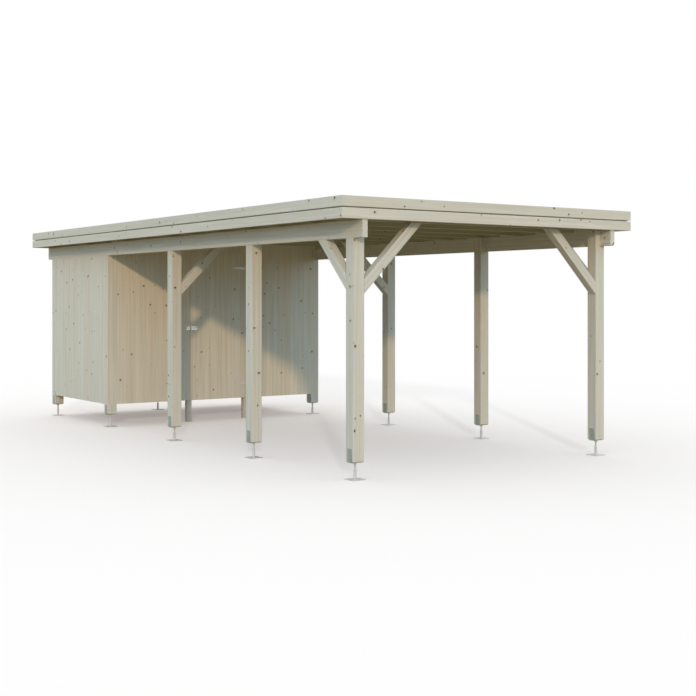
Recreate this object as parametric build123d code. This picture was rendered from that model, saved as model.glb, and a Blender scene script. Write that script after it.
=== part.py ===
from build123d import *
import os

# Timber carport with a flat roof and a boarded store room across its far bay.
# Millimetres. X runs across, Y from the open front (-Y) to the store room (+Y),
# Z is up, and the origin lies on the ground under the middle of the roof.

# Plan of the frame
post_side = 120
post_spacing = 3030          # post centres across the bay
post_bay = 1810              # post centres along each side
line_names = ("front", "second", "middle", "store_front", "back")
side_overhang = 225          # post face to the fascia's outer face
end_overhang = 156
side_signs = {"left": -1, "right": 1}

# Heights of the frame
foot_height = 160            # underside of the posts
beam_bottom = 2160
beam_height = 160
beam_thickness = 55
beam_setback = 14            # beam ends behind the fascia's outer face
rafter_height = 140
rafter_width = 45
rafters_per_bay = 3
post_chamfer = 8

# Roof
deck_thickness = 18
covering_thickness = 4
fascia_thickness = 28
fascia_height = 95
fascia_gap = 10              # open joint between the two fascia boards

# Braces, set at 45 degrees
brace_side = 90
cross_brace_foot = 1662      # lowest point of each brace on its post
side_brace_foot = 1700

# Post feet
plate_side = 140
plate_thickness = 6
plate_hole_spacing = 105
plate_hole_diameter = 11
sleeve_diameter = 28
sleeve_height = 84
rod_diameter = 18
nut_width = 30
nut_height = 15
nut_sides = 6
bracket_thickness = 6
strip_width = 68
strip_thickness = 5
strip_height = 120

# Store room walls
board_thickness = 19
wall_bottom = 285
rail_depth = 45
rail_height = 70
rail_inset = 40              # lowest rail above the foot of the boards

# Door
door_width = 837
door_offset = -5.5           # middle of the door from the middle of the room
door_gap = 5                 # running gap all round the leaf
door_lap = 30                # leaf over each door post
door_head_drop = 95          # top of the leaf below the rafters
door_post_side = 66
header_gap = 15              # top of the leaf to the header behind it
ledge_height = 95
ledge_thickness = 22
ledge_gap = 10               # ledge ends to the door posts

# Hook and band hinges
band_length = 198
band_height = 35
band_tip_height = 24
band_thickness = 4
hinge_inset = 200            # hinge centre to the leaf's top or bottom
eye_diameter = 20
eye_offset = 7               # hinge axis beyond the leaf's edge
pin_diameter = 10
pin_clearance = 0.1
eye_rest_gap = 0.3
pin_rise = 12                # pin shown above the eye
hook_plate_width = 60
hook_plate_height = 90
hook_plate_thickness = 4
hook_web = 9

# Slide bolt
bolt_height = 1230
bolt_diameter = 12
bolt_length = 105
bolt_clearance = 0.3
bolt_setback = 8             # end of the drawn bolt inside the leaf's edge
bolt_plate_length = 90
bolt_plate_height = 44
bolt_plate_thickness = 3
bolt_plate_inset = 4         # plate to the leaf's edge
bolt_axis_offset = 9         # bolt axis in front of its plate
staple_width = 10
staple_height = 24
staple_wall = 4              # metal in front of the bolt
staple_inset = 5
knob_diameter = 10
knob_length = 24
knob_setback = 61            # knob from the free end of the bolt
keep_plate_width = 44
keep_gap = 10                # keep plate to the leaf's edge
keep_staple_inset = 11
keep_staple_width = 15

overrun = 5                  # cutters pass this far through a face

# Places that follow from the sizes above
half_post = post_side / 2
post_x = post_spacing / 2
post_outer = post_x + half_post
post_inner = post_x - half_post
roof_width = 2 * (post_outer + side_overhang)
bay_count = len(line_names) - 1
line_y = [(i - bay_count / 2) * post_bay for i in range(len(line_names))]
roof_length = 2 * (line_y[-1] + half_post + end_overhang)
beam_inner = post_outer - beam_thickness
beam_top = beam_bottom + beam_height
beam_length = roof_length - 2 * beam_setback
deck_bottom = beam_top + rafter_height
frame_length = roof_length - 2 * fascia_thickness
frame_width = roof_width - 2 * fascia_thickness
upper_fascia_bottom = beam_top + fascia_height + fascia_gap

wall_front = line_y[-2] - half_post
wall_back = line_y[-1] + half_post
wall_outer = post_outer
wall_lining = wall_outer - board_thickness
front_lining = wall_front + board_thickness
back_lining = wall_back - board_thickness

leaf_left = door_offset - door_width / 2
leaf_right = door_offset + door_width / 2
leaf_top = beam_top - door_head_drop
leaf_back = front_lining - door_gap
leaf_front = leaf_back - board_thickness
hinge_heights = (wall_bottom + hinge_inset, leaf_top - hinge_inset)
hinge_x = leaf_right + eye_offset
hinge_y = leaf_front - eye_diameter / 2
bolt_plate_front = leaf_front - bolt_plate_thickness
bolt_y = bolt_plate_front - bolt_axis_offset
keep_plate_front = wall_front - bolt_plate_thickness


def block(low, high):
    """A box from its lowest to its highest corner."""
    size = [b - a for a, b in zip(low, high)]
    middle = [(a + b) / 2 for a, b in zip(low, high)]
    return Pos(*middle) * Box(*size)


def rod(x, y, z, diameter, height):
    """An upright cylinder standing at z."""
    return Pos(x, y, z + height / 2) * Cylinder(diameter / 2, height)


def mirrored(shape, sign):
    """The shape for the left side, or its mirror image for the right."""
    return shape if sign < 0 else mirror(shape, about=Plane.YZ)


def post_blank(x, y):
    """A post before its cuts for beam and boards, with the foot's strips let into two faces."""
    post = block((x - half_post, y - half_post, foot_height), (x + half_post, y + half_post, beam_top))
    post = chamfer(post.edges().group_by(Axis.Z)[0], post_chamfer)
    for low in (x - half_post - overrun, x + half_post - strip_thickness):
        post -= block(
            (low, y - strip_width / 2, foot_height - overrun),
            (low + strip_thickness + overrun, y + strip_width / 2, foot_height + strip_height),
        )
    return post


def left_post(y, is_store, is_back):
    """A post whose top is notched for the beam; the store room's posts are rebated for the boards."""
    post = post_blank(-post_x, y)
    post -= block(
        (-post_outer - overrun, y - post_side, beam_bottom),
        (-beam_inner, y + post_side, beam_top + overrun),
    )
    if is_store:
        post -= block(
            (-post_outer - overrun, y - post_side, wall_bottom),
            (-wall_lining, y + post_side, beam_bottom),
        )
        face, lining = (wall_back, back_lining) if is_back else (wall_front, front_lining)
        edges = sorted((lining, face + (face - lining)))
        post -= block(
            (-post_outer - overrun, edges[0], wall_bottom),
            (-post_inner + overrun, edges[1], beam_top + overrun),
        )
    return post


def back_middle_post():
    """The post in the middle of the back wall, rebated for its boards."""
    rebate = block(
        (-post_side, back_lining, wall_bottom), (post_side, wall_back + overrun, beam_top + overrun)
    )
    return post_blank(0, line_y[-1]) - rebate


def post_foot(x, y):
    """An adjustable steel foot: ground plate, sleeve, rod, nut and the bracket round the post."""
    half_plate = plate_side / 2
    foot = block((x - half_plate, y - half_plate, 0), (x + half_plate, y + half_plate, plate_thickness))
    for hole in GridLocations(plate_hole_spacing, plate_hole_spacing, 2, 2):
        at = hole.position
        foot -= rod(at.X + x, at.Y + y, -overrun, plate_hole_diameter, plate_thickness + 2 * overrun)
    bracket_bottom = foot_height - bracket_thickness
    nut_bottom = bracket_bottom - nut_height
    foot += rod(x, y, plate_thickness, sleeve_diameter, sleeve_height)
    foot += rod(x, y, plate_thickness, rod_diameter, bracket_bottom - plate_thickness)
    nut = RegularPolygon(nut_width / 2, nut_sides, major_radius=False)
    foot += Pos(x, y, nut_bottom) * extrude(nut, nut_height)
    half_strip = strip_width / 2
    foot += block(
        (x - half_post, y - half_strip, bracket_bottom), (x + half_post, y + half_strip, foot_height)
    )
    for low in (x - half_post, x + half_post - strip_thickness):
        foot += block(
            (low, y - half_strip, bracket_bottom),
            (low + strip_thickness, y + half_strip, foot_height + strip_height),
        )
    return foot


def left_beam():
    """The long beam that lies in the posts' notches."""
    return block((-post_outer, -beam_length / 2, beam_bottom), (-beam_inner, beam_length / 2, beam_top))


def rafter(y):
    """A rafter across both beams."""
    return block(
        (-frame_width / 2, y - rafter_width / 2, beam_top),
        (frame_width / 2, y + rafter_width / 2, deck_bottom),
    )


def rafter_places():
    """Rafters over every post line, evenly between them and behind both end fascias."""
    spacing = post_bay / rafters_per_bay
    end = (frame_length - rafter_width) / 2
    inner = [line_y[0] + i * spacing for i in range(bay_count * rafters_per_bay + 1)]
    return [-end] + inner + [end]


def fascia(length, depth, turn):
    """Two mitred boards, one above the other, along one edge of the roof."""
    half = length / 2
    outer = -depth / 2
    inner = outer + fascia_thickness
    inner_half = half - fascia_thickness
    outline = Polyline((-half, outer), (half, outer), (inner_half, inner), (-inner_half, inner), close=True)
    board = extrude(make_face(outline), fascia_height)
    boards = [Pos(0, 0, z) * board for z in (beam_top, upper_fascia_bottom)]
    return [Rot(0, 0, turn) * b for b in boards]


def brace_outline(foot, top):
    """The side of a 45 degree brace from a post face at 0 up to the timber it carries."""
    upright = brace_side * 2 ** 0.5
    run = top - foot
    return Polyline(
        (0, foot), (run, top), (run - upright, top), (0, foot + upright), close=True
    )


def left_cross_brace(y):
    """A brace from a left post to the rafter over it, flush with the front of the post."""
    side = make_face(brace_outline(cross_brace_foot, beam_top))
    brace = extrude(Plane.XZ * side, -brace_side)
    return Pos(-post_inner, y - half_post, 0) * brace


def left_side_brace(y):
    """A brace from a left post back to the beam, flush with the outside of the post."""
    side = make_face(brace_outline(side_brace_foot, beam_bottom))
    brace = extrude(Plane.YZ * side, brace_side)
    return Pos(-post_outer, y + half_post, 0) * brace


def end_wall_outline(low, high):
    """An end wall between two places across, cut away at its top round any beam it reaches."""
    points = [(low, wall_bottom), (high, wall_bottom)]
    if high > beam_inner:
        points += [(high, beam_bottom), (beam_inner, beam_bottom), (beam_inner, deck_bottom)]
    else:
        points += [(high, deck_bottom)]
    if low < -beam_inner:
        points += [(-beam_inner, deck_bottom), (-beam_inner, beam_bottom), (low, beam_bottom)]
    else:
        points += [(low, deck_bottom)]
    return make_face(Polyline(*points, close=True))


def end_wall(low, high, front):
    """A wall of upright boards across the room, its outer face at the given place."""
    return Pos(0, front, 0) * extrude(Plane.XZ * end_wall_outline(low, high), -board_thickness)


def left_wall():
    """The boarded side wall, flush with the posts and the beam over it."""
    return block((-wall_outer, wall_front, wall_bottom), (-wall_lining, wall_back, beam_bottom))


def rail_levels():
    """The undersides of the three rails that carry the boards."""
    low = wall_bottom + rail_inset
    high = beam_bottom - rail_height
    return low, (low + high) / 2, high


def wall_rails():
    """Rails between the posts behind each wall, and the header over the door."""
    rails = []
    post_left, post_right = door_post_edges()
    end_spans = (
        (-post_inner, post_left - door_post_side, front_lining),
        (post_right + door_post_side, post_inner, front_lining),
        (-post_inner, -half_post, back_lining - rail_depth),
        (half_post, post_inner, back_lining - rail_depth),
    )
    for z in rail_levels():
        for low, high, front in end_spans:
            rails.append(block((low, front, z), (high, front + rail_depth, z + rail_height)))
        for sign in side_signs.values():
            edges = sorted((sign * wall_lining, sign * (wall_lining - rail_depth)))
            rails.append(block(
                (edges[0], line_y[-2] + half_post, z), (edges[1], line_y[-1] - half_post, z + rail_height),
            ))
    rails.append(block(
        (post_left, front_lining, leaf_top + header_gap), (post_right, front_lining + rail_depth, beam_top),
    ))
    return rails


def door_post_edges():
    """The faces of the two door posts that look at each other."""
    return leaf_left + door_lap, leaf_right - door_lap


def door_post(low):
    """A door post from the ground to the rafter over the doorway."""
    return block(
        (low, front_lining, 0), (low + door_post_side, front_lining + door_post_side, beam_top),
    )


def door_leaf():
    """The leaf of upright boards."""
    return block((leaf_left, leaf_front, wall_bottom), (leaf_right, leaf_back, leaf_top))


def door_ledges():
    """Three ledges across the back of the leaf, two of them behind the hinges."""
    post_left, post_right = door_post_edges()
    middle = sum(hinge_heights) / 2
    return [
        block(
            (post_left + ledge_gap, leaf_back, z - ledge_height / 2),
            (post_right - ledge_gap, leaf_back + ledge_thickness, z + ledge_height / 2),
        )
        for z in (hinge_heights[0], middle, hinge_heights[1])
    ]


def hinge_band(z):
    """A tapered band with a round tip and the eye that turns on the hook."""
    half = band_height / 2
    half_tip = band_tip_height / 2
    tip = hinge_x - band_length
    outline = Polyline(
        (hinge_x, -half), (hinge_x, half), (tip + half_tip, half_tip), (tip + half_tip, -half_tip), close=True
    )
    plate = make_face(outline) + Pos(tip + half_tip, 0) * Circle(half_tip)
    band = Pos(0, leaf_front, z) * extrude(Plane.XZ * plate, band_thickness)
    band += rod(hinge_x, hinge_y, z - half, eye_diameter, band_height)
    bore = pin_diameter + 2 * pin_clearance
    band -= rod(hinge_x, hinge_y, z - half - overrun, bore, band_height + 2 * overrun)
    return band


def hinge_hook(z):
    """The hook: a wall plate, a boss under the eye and the upright pin."""
    bottom = z - hook_plate_height / 2
    boss_top = z - band_height / 2 - eye_rest_gap
    plate_left = hinge_x + eye_diameter / 2
    plate_front = wall_front - hook_plate_thickness
    hook = block(
        (plate_left, plate_front, bottom),
        (plate_left + hook_plate_width, wall_front, bottom + hook_plate_height),
    )
    hook += block((hinge_x, wall_front - hook_web, bottom), (plate_left + hook_web, wall_front, boss_top))
    hook += rod(hinge_x, hinge_y, bottom, eye_diameter, boss_top - bottom)
    hook += rod(hinge_x, hinge_y, bottom, pin_diameter, z + band_height / 2 + pin_rise - bottom)
    return hook


def staple(low, width, back):
    """A block that guides the bolt, with its hole along X."""
    front = bolt_y - bolt_diameter / 2 - staple_wall
    guide = block(
        (low, front, bolt_height - staple_height / 2), (low + width, back, bolt_height + staple_height / 2)
    )
    bore = Cylinder(bolt_diameter / 2 + bolt_clearance, width + 2 * overrun)
    return guide - Pos(low + width / 2, bolt_y, bolt_height) * Rot(0, 90, 0) * bore


def bolt_barrel():
    """The plate on the leaf with the two staples that hold the bolt."""
    low = leaf_left + bolt_plate_inset
    high = low + bolt_plate_length
    half = bolt_plate_height / 2
    barrel = block((low, bolt_plate_front, bolt_height - half), (high, leaf_front, bolt_height + half))
    barrel += staple(low + staple_inset, staple_width, bolt_plate_front)
    barrel += staple(high - staple_inset - staple_width, staple_width, bolt_plate_front)
    return barrel


def bolt_rod():
    """The bolt, drawn back, with its knob between the staples."""
    end = leaf_left + bolt_setback
    shank = Cylinder(bolt_diameter / 2, bolt_length)
    bolt = Pos(end + bolt_length / 2, bolt_y, bolt_height) * Rot(0, 90, 0) * shank
    knob = Cylinder(knob_diameter / 2, knob_length)
    return bolt + Pos(end + knob_setback, bolt_y - knob_length / 2, bolt_height) * Rot(90, 0, 0) * knob


def bolt_keep():
    """The plate and staple on the wall that take the bolt."""
    high = leaf_left - keep_gap
    low = high - keep_plate_width
    half = bolt_plate_height / 2
    keep = block((low, keep_plate_front, bolt_height - half), (high, wall_front, bolt_height + half))
    return keep + staple(high - keep_staple_inset - keep_staple_width, keep_staple_width, keep_plate_front)


def frame_nodes():
    """Posts, feet, beams, rafters and braces."""
    nodes = {
        "rafters": [rafter(y) for y in rafter_places()],
        "back_middle_post": [back_middle_post()],
        "back_middle_foot": [post_foot(0, line_y[-1])],
    }
    for side, sign in side_signs.items():
        for i, name in enumerate(line_names):
            is_back = i == bay_count
            post = left_post(line_y[i], i >= bay_count - 1, is_back)
            nodes[f"{side}_{name}_post"] = [mirrored(post, sign)]
        nodes[f"{side}_post_feet"] = [post_foot(sign * post_x, y) for y in line_y]
        nodes[f"{side}_beam"] = [mirrored(left_beam(), sign)]
        for name in ("front", "middle"):
            y = line_y[line_names.index(name)]
            nodes[f"{name}_{side}_cross_brace"] = [mirrored(left_cross_brace(y), sign)]
        nodes[f"{side}_side_brace"] = [mirrored(left_side_brace(line_y[0]), sign)]
    return nodes


def roof_nodes():
    """Deck, covering and the double fascia on four sides."""
    low = (-frame_width / 2, -frame_length / 2)
    high = (frame_width / 2, frame_length / 2)
    deck_top = deck_bottom + deck_thickness
    return {
        "roof_deck": [block((*low, deck_bottom), (*high, deck_top))],
        "roof_covering": [block((*low, deck_top), (*high, deck_top + covering_thickness))],
        "front_fascia": fascia(roof_width, roof_length, 0),
        "right_fascia": fascia(roof_length, roof_width, 90),
        "back_fascia": fascia(roof_width, roof_length, 180),
        "left_fascia": fascia(roof_length, roof_width, 270),
    }


def store_nodes():
    """Walls, rails and door posts of the store room."""
    door_low = leaf_left - door_gap
    door_high = leaf_right + door_gap
    over_door = block((door_low, wall_front, leaf_top + door_gap), (door_high, front_lining, deck_bottom))
    post_left, post_right = door_post_edges()
    return {
        "store_left_wall": [left_wall()],
        "store_right_wall": [mirrored(left_wall(), 1)],
        "store_back_wall": [end_wall(-wall_lining, wall_lining, back_lining)],
        "store_front_wall_left": [end_wall(-wall_lining, door_low, wall_front)],
        "store_front_wall_right": [end_wall(door_high, wall_lining, wall_front)],
        "store_front_wall_over_door": [over_door],
        "wall_rails": wall_rails(),
        "left_door_post": [door_post(post_left - door_post_side)],
        "right_door_post": [door_post(post_right)],
    }


def door_nodes():
    """The leaf with its ledges, hinges and slide bolt."""
    return {
        "door_leaf": [door_leaf()],
        "door_ledges": door_ledges(),
        "hinge_bands": [hinge_band(z) for z in hinge_heights],
        "hinge_hooks": [hinge_hook(z) for z in hinge_heights],
        "bolt_barrel": [bolt_barrel()],
        "bolt_rod": [bolt_rod()],
        "bolt_keep": [bolt_keep()],
    }


def main():
    """Write every piece to its own file."""
    os.makedirs("parts", exist_ok=True)
    for group in (frame_nodes(), roof_nodes(), store_nodes(), door_nodes()):
        for name, solids in group.items():
            shape = solids[0] if len(solids) == 1 else Compound(children=solids)
            export_step(shape, f"parts/{name}.step")


main()
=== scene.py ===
import logging
import math
import random
from dataclasses import dataclass, field
from enum import Enum
from typing import Any, Iterator, Optional, Sequence

import bmesh
import bpy
from bpy.types import Material, Mesh, Node, NodeSocket, NodeTree, Object
from mathutils import Matrix, Vector


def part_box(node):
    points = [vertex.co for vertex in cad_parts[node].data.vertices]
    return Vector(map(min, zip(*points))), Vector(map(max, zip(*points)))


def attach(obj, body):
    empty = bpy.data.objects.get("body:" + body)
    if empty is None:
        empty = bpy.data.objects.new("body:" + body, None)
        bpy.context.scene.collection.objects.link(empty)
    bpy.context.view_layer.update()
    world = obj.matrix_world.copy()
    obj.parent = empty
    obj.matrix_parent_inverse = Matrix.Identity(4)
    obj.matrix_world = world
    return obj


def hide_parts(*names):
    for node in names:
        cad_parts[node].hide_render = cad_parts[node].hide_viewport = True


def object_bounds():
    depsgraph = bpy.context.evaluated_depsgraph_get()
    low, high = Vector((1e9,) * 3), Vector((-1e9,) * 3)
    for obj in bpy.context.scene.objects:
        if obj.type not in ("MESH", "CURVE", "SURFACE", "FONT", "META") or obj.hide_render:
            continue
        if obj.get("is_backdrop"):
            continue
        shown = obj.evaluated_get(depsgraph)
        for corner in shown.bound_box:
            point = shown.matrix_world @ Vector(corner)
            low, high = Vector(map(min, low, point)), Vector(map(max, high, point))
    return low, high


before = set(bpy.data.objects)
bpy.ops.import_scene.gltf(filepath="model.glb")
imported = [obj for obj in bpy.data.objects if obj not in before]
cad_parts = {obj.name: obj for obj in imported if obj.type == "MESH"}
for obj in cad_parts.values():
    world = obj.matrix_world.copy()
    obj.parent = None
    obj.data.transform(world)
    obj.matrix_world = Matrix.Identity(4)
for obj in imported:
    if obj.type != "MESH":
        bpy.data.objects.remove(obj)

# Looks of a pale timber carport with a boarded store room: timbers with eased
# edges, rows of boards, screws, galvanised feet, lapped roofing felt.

CAD_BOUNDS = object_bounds()
MM = 0.001
AXIS_X = Vector((1, 0, 0))
AXIS_Y = Vector((0, 1, 0))
AXIS_Z = Vector((0, 0, 1))
RIGHT_ANGLE = 90.0               # degrees
MERGE_DISTANCE = 0.01 * MM
FLAT_ANGLE = math.radians(1.0)   # faces that meet at less than this are one face
SQUARE = 1e-5                    # cosine below which two directions are square to each other

# Eased edges of timbers.
EASED_LENGTH = 20                # in widths of the arris, shorter edges stay sharp
ALONG_FIBRES = 0.999             # cosine from which an edge runs with the fibres
ARRIS_STEPS = 2
ARRIS_PROFILE = 0.5              # a round arris

# Attributes by which meshes tell the finishes and fixings about themselves.
GRAIN = "grain"
TONE = "tone"
SHIFT = "shift"
FACING = "facing"
GRAIN_SHIFT = 40.0               # metres by which one piece's figure differs from the next
FACE_SHIFT = (3.1, 5.3, 7.7)     # metres by which knots differ from one face of a timber to the next

# Socket types of geometry trees, and the places of a colour mix's sockets.
NUMBER = "NodeSocketFloat"
WHOLE = "NodeSocketInt"
SURFACE = "NodeSocketMaterial"
MIX_LOW = 6
MIX_HIGH = 7
MIX_RESULT = 2

# The sRGB curve.
SRGB_FULL = 255
SRGB_KNEE = 0.04045
SRGB_SLOPE = 12.92
SRGB_LIFT = 0.055
SRGB_POWER = 2.4

log = logging.getLogger("carport")


class Grain(Enum):
    """The way a timber's fibres run, as a direction in the object's frame."""

    ACROSS = (1.0, 0.0, 0.0)
    LENGTHWISE = (0.0, 1.0, 0.0)
    UPRIGHT = (0.0, 0.0, 1.0)
    RISING_RIGHT = (1.0, 0.0, 1.0)
    RISING_LEFT = (-1.0, 0.0, 1.0)
    RISING_BACK = (0.0, 1.0, 1.0)

    def axes(self) -> tuple[Vector, Vector, Vector]:
        """Find the directions in which a timber's own coordinates run.

        Returns:
            Unit vectors along the fibres and across them, both ways.
        """
        along = Vector(self.value).normalized()
        side = next(axis for axis in (AXIS_X, AXIS_Y, AXIS_Z) if abs(axis.dot(along)) < SQUARE)
        return along, side, along.cross(side)


class Slot(Enum):
    """Material slots of the record."""

    TIMBER = "planed_timber"
    WALL = "wall_boards"
    DECK = "roof_boards"
    FELT = "roofing_felt"
    STEEL = "galvanised_steel"


class Body(Enum):
    """Bodies of the frame that pieces ride on."""

    CARPORT = "carport"
    DOOR = "door"


class FloorLight(Enum):
    """What a lamp does with the floor."""

    LEFT_OUT = "EXCLUDE"
    ALONE = "INCLUDE"


def linear(colour: str) -> tuple[float, float, float, float]:
    """Turn an sRGB hex colour into linear values.

    Args:
        colour: six hex digits after a hash sign.

    Returns:
        Red, green, blue and an alpha of one.
    """
    shares = [part / SRGB_FULL for part in bytes.fromhex(colour[1:])]
    red, green, blue = (
        share / SRGB_SLOPE if share <= SRGB_KNEE else ((share + SRGB_LIFT) / (1 + SRGB_LIFT)) ** SRGB_POWER
        for share in shares
    )
    return red, green, blue, 1.0


def add_node(
    tree: NodeTree,
    kind: str,
    settings: Optional[dict[str, Any]] = None,
    inputs: Optional[dict[Any, Any]] = None,
) -> Node:
    """Add a node, set its properties, and set or link its inputs.

    Args:
        tree: the tree that takes the node.
        kind: the node's type name.
        settings: property names and values.
        inputs: input names or places, with a value or an output socket each.

    Returns:
        The new node.
    """
    node = tree.nodes.new(kind)
    for name, value in (settings or {}).items():
        setattr(node, name, value)
    for key, value in (inputs or {}).items():
        if isinstance(value, NodeSocket):
            tree.links.new(value, node.inputs[key])
        else:
            node.inputs[key].default_value = value
    return node


def new_surface(name: str) -> tuple[Material, NodeTree, Node]:
    """Make an empty node material.

    Args:
        name: the material's name.

    Returns:
        The material, its tree and its output node.
    """
    material = bpy.data.materials.new(name)
    material.use_nodes = True
    tree = material.node_tree
    tree.nodes.clear()
    return material, tree, add_node(tree, "ShaderNodeOutputMaterial")


@dataclass(frozen=True)
class Finish:
    """The surface of one real material."""

    name: str

    def material(self) -> Material:
        """Find the finish's node material, or build it at its first use.

        Returns:
            The material.
        """
        found = bpy.data.materials.get(self.name)
        if found:
            return found
        material, tree, output = new_surface(self.name)
        tree.links.new(self.shader(tree).outputs[0], output.inputs["Surface"])
        return material

    def shader(self, tree: NodeTree) -> Node:
        """Build the finish's nodes, which every kind of finish does in its own way.

        Args:
            tree: the material's tree.

        Returns:
            The shader node.
        """
        raise NotImplementedError


@dataclass(frozen=True)
class TimberFinish(Finish):
    """Planed softwood: pale, matt, streaked along the fibres, with small dark knots.

    Colours are sRGB, sizes are in metres, and edges round a knot are in its radii.
    """

    pale: str
    streak: str
    warm: str
    line: str
    halo: str = "#b1a48a"
    knot: str = "#17110c"
    streak_width: float = 24 * MM
    streak_length: float = 1400 * MM
    streak_share: float = 0.75
    line_width: float = 7 * MM       # growth rings, drawn about twice as wide as real ones to show
    line_length: float = 500 * MM
    line_share: float = 0.45
    figure_detail: float = 4.0
    figure_roughness: float = 0.55
    figure_range: tuple[float, float] = (0.36, 0.66)
    warm_share: float = 0.45
    knot_spacing: float = 300 * MM
    knot_radius: tuple[float, float] = (2 * MM, 9 * MM)
    knot_edge: tuple[float, float] = (0.7, 1.05)
    knot_share: float = 0.9
    halo_edge: tuple[float, float] = (0.9, 2.6)
    halo_share: float = 0.5
    bend: float = 16 * MM            # how far a knot pushes the fibres aside
    bend_edge: tuple[float, float] = (0.0, 6.0)
    roughness: float = 0.74
    specular: float = 0.25
    relief: float = 0.5 * MM
    relief_strength: float = 0.35

    def shader(self, tree: NodeTree) -> Node:
        """Build the finish's nodes, which read each piece's grain and tone.

        Args:
            tree: the material's tree.

        Returns:
            The shader node.
        """
        grain = add_node(tree, "ShaderNodeAttribute", {"attribute_name": GRAIN})
        tone = add_node(tree, "ShaderNodeAttribute", {"attribute_name": TONE})
        parts = add_node(tree, "ShaderNodeSeparateXYZ", inputs={0: grain.outputs["Vector"]}).outputs
        ratio = self._knot_ratio(tree, parts)
        bend, halo, knot = (
            add_node(
                tree, "ShaderNodeMapRange", {"interpolation_type": "SMOOTHSTEP"},
                {"Value": ratio, "From Min": start, "From Max": end, "To Min": full, "To Max": 0.0},
            ).outputs["Result"]
            for (start, end), full in (
                (self.bend_edge, self.bend), (self.halo_edge, 1.0), (self.knot_edge, 1.0),
            )
        )
        side = add_node(tree, "ShaderNodeMath", {"operation": "ADD"}, {0: parts["Y"], 1: bend})
        bent = add_node(
            tree, "ShaderNodeCombineXYZ",
            inputs={"X": parts["X"], "Y": side.outputs[0], "Z": parts["Z"]},
        )
        streak = self._figure(tree, bent.outputs[0], self.streak_length, self.streak_width)
        line = self._figure(tree, bent.outputs[0], self.line_length, self.line_width)
        colour = linear(self.pale)
        for mask, share, shade in (
            (streak, self.streak_share, self.streak),
            (tone.outputs["Fac"], self.warm_share, self.warm),
            (line, self.line_share, self.line),
            (halo, self.halo_share, self.halo),
            (knot, self.knot_share, self.knot),
        ):
            amount = add_node(tree, "ShaderNodeMath", {"operation": "MULTIPLY"}, {0: mask, 1: share})
            blend = add_node(
                tree, "ShaderNodeMix", {"data_type": "RGBA"},
                {0: amount.outputs[0], MIX_LOW: colour, MIX_HIGH: linear(shade)},
            )
            colour = blend.outputs[MIX_RESULT]
        bump = add_node(
            tree, "ShaderNodeBump",
            inputs={"Strength": self.relief_strength, "Distance": self.relief, "Height": line},
        )
        return add_node(
            tree, "ShaderNodeBsdfPrincipled",
            inputs={
                "Base Color": colour, "Roughness": self.roughness,
                "Specular IOR Level": self.specular, "Normal": bump.outputs["Normal"],
            },
        )

    def _knot_ratio(self, tree: NodeTree, parts: Any) -> NodeSocket:
        """Distance from the nearest knot's middle, over that knot's own radius.

        Args:
            tree: the material's tree.
            parts: the sockets of the grain coordinates, by their letters.

        Returns:
            The socket that holds the ratio.
        """
        facing = add_node(
            tree, "ShaderNodeVectorMath", {"operation": "DOT_PRODUCT"},
            {0: add_node(tree, "ShaderNodeTexCoord").outputs["Normal"], 1: FACE_SHIFT},
        )
        along = add_node(
            tree, "ShaderNodeMath", {"operation": "ADD"}, {0: parts["X"], 1: facing.outputs["Value"]},
        )
        across = add_node(tree, "ShaderNodeMath", {"operation": "ADD"}, {0: parts["Y"], 1: parts["Z"]})
        place = add_node(
            tree, "ShaderNodeCombineXYZ", inputs={"X": along.outputs[0], "Y": across.outputs[0]},
        )
        cells = add_node(
            tree, "ShaderNodeTexVoronoi", {"voronoi_dimensions": "2D", "feature": "F1"},
            {"Vector": place.outputs[0], "Scale": 1 / self.knot_spacing, "Randomness": 1.0},
        )
        chance = add_node(tree, "ShaderNodeSeparateColor", inputs={0: cells.outputs["Color"]})
        low, high = (radius / self.knot_spacing for radius in self.knot_radius)
        radius = add_node(
            tree, "ShaderNodeMapRange",
            inputs={"Value": chance.outputs[0], "To Min": low, "To Max": high},
        )
        ratio = add_node(
            tree, "ShaderNodeMath", {"operation": "DIVIDE"},
            {0: cells.outputs["Distance"], 1: radius.outputs["Result"]},
        )
        return ratio.outputs[0]

    def _figure(self, tree: NodeTree, place: NodeSocket, length: float, width: float) -> NodeSocket:
        """Streaks drawn out along the fibres.

        Args:
            tree: the material's tree.
            place: the grain coordinates.
            length: length of a streak along the fibres.
            width: width of a streak across them.

        Returns:
            The socket with the streaks' strength, from 0 to 1.
        """
        drawn = add_node(
            tree, "ShaderNodeVectorMath", {"operation": "MULTIPLY"},
            {0: place, 1: (1 / length, 1 / width, 1 / width)},
        )
        noise = add_node(
            tree, "ShaderNodeTexNoise",
            inputs={
                "Vector": drawn.outputs[0], "Scale": 1.0,
                "Detail": self.figure_detail, "Roughness": self.figure_roughness,
            },
        )
        low, high = self.figure_range
        spread = add_node(
            tree, "ShaderNodeMapRange",
            inputs={"Value": noise.outputs[0], "From Min": low, "From Max": high},
        )
        return spread.outputs["Result"]


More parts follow.
